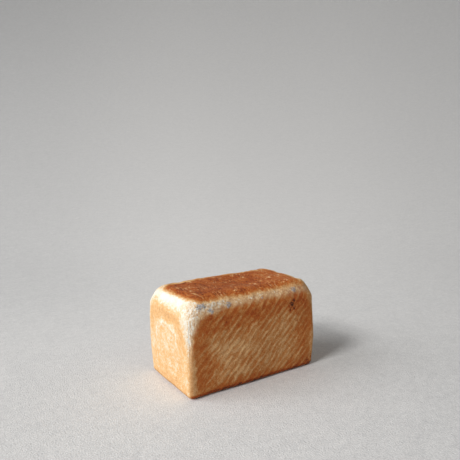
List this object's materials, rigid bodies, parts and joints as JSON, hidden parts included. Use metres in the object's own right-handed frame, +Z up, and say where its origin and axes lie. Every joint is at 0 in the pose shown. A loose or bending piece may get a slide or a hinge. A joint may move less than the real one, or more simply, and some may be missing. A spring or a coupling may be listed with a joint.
{
  "type": "tin loaf",
  "caption": "Oblong tin loaf of bread with a flat foot, near-upright golden walls, broad pale round shoulders and a browned, slightly sunken lid side; it rests on its foot.",
  "frame": {"origin": "middle of the loaf's foot, on the surface that it rests on", "axes": "+X along the loaf's length, +Y across its width, +Z up to the lid side"},
  "size_m": [0.186, 0.108, 0.113],
  "materials": {
    "crust": "matt baked bread crust: red-brown lid side, pale cream shoulders, golden walls with slanting pale streaks"
  },
  "bodies": {
    "root": {"loaf": "crust"}
  },
  "joints": []
}
